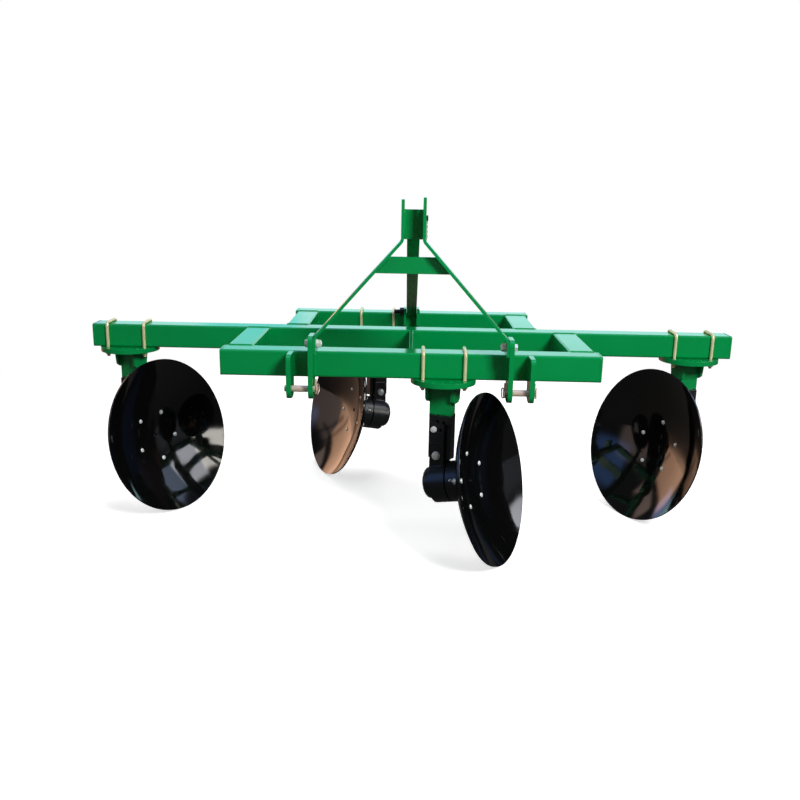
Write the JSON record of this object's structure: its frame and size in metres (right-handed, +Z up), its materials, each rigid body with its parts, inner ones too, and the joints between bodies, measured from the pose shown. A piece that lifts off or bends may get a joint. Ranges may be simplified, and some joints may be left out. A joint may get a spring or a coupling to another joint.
{
  "type": "disc ridger",
  "caption": "Tractor-mounted disc ridger: a welded ladder frame with three-point hitch mast and dished discs on clamped swivel units that throw soil into ridges.",
  "frame": {"origin": "on the ground under the four discs, in the centre plane, at the middle of the overall length", "axes": "+X to the right seen from the tractor, +Y to the rear, +Z up"},
  "size_m": [2.51, 1.4762, 1.242],
  "materials": {
    "frame_green": "gloss",
    "hub_black": "gloss",
    "disc_gloss": "gloss",
    "zinc": "yellow passivated"
  },
  "bodies": {
    "frame": {"front_beam": "frame_green", "middle_beam": "frame_green", "rear_beam": "frame_green", "beam_caps": "frame_green", "centre_rib": "frame_green", "mast_cross_brace": "frame_green", "mast_back_plate": "frame_green", "rear_stay": "frame_green", "stay_ears": "frame_green", "front_rail_left": "frame_green", "rear_rail_left": "frame_green", "hitch_ear_inner_left": "frame_green", "hitch_ear_outer_left": "frame_green", "hitch_pin_left": "zinc", "mast_head_left": "frame_green", "mast_leg_left": "frame_green", "front_rail_right": "frame_green", "rear_rail_right": "frame_green", "hitch_ear_inner_right": "frame_green", "hitch_ear_outer_right": "frame_green", "hitch_pin_right": "zinc", "mast_head_right": "frame_green", "mast_leg_right": "frame_green", "ubolts_left": "zinc", "swivel_plate_left": "frame_green", "post_left": "frame_green", "bracket_left": "hub_black", "ubolts_right": "zinc", "swivel_plate_right": "frame_green", "post_right": "frame_green", "bracket_right": "hub_black", "ubolts_front": "zinc", "swivel_plate_front": "frame_green", "post_front": "frame_green", "bracket_front": "hub_black", "ubolts_rear": "zinc", "swivel_plate_rear": "frame_green", "post_rear": "frame_green", "bracket_rear": "hub_black"},
    "disc_left": {"disc_left": "disc_gloss", "hub_left": "hub_black"},
    "disc_right": {"disc_right": "disc_gloss", "hub_right": "hub_black"},
    "disc_front": {"disc_front": "disc_gloss", "hub_front": "hub_black"},
    "disc_rear": {"disc_rear": "disc_gloss", "hub_rear": "hub_black"}
  },
  "joints": [
    {"name": "disc_spin_left", "type": "hinge", "parent": "frame", "child": "disc_left", "pos_m": [-1.06381, 0.05438, 0.2662], "axis": [0.8455, -0.4881, 0.2164], "continuous": true},
    {"name": "disc_spin_right", "type": "hinge", "parent": "frame", "child": "disc_right", "pos_m": [1.04511, 0.05752, 0.2662], "axis": [-0.8699, -0.4432, 0.2164], "continuous": true},
    {"name": "disc_spin_front", "type": "hinge", "parent": "frame", "child": "disc_front", "pos_m": [0.17643, -0.40825, 0.2662], "axis": [0.8919, -0.3971, 0.2164], "continuous": true},
    {"name": "disc_spin_rear", "type": "hinge", "parent": "frame", "child": "disc_rear", "pos_m": [-0.21294, 0.51667, 0.2662], "axis": [-0.8848, -0.4126, 0.2164], "continuous": true}
  ]
}
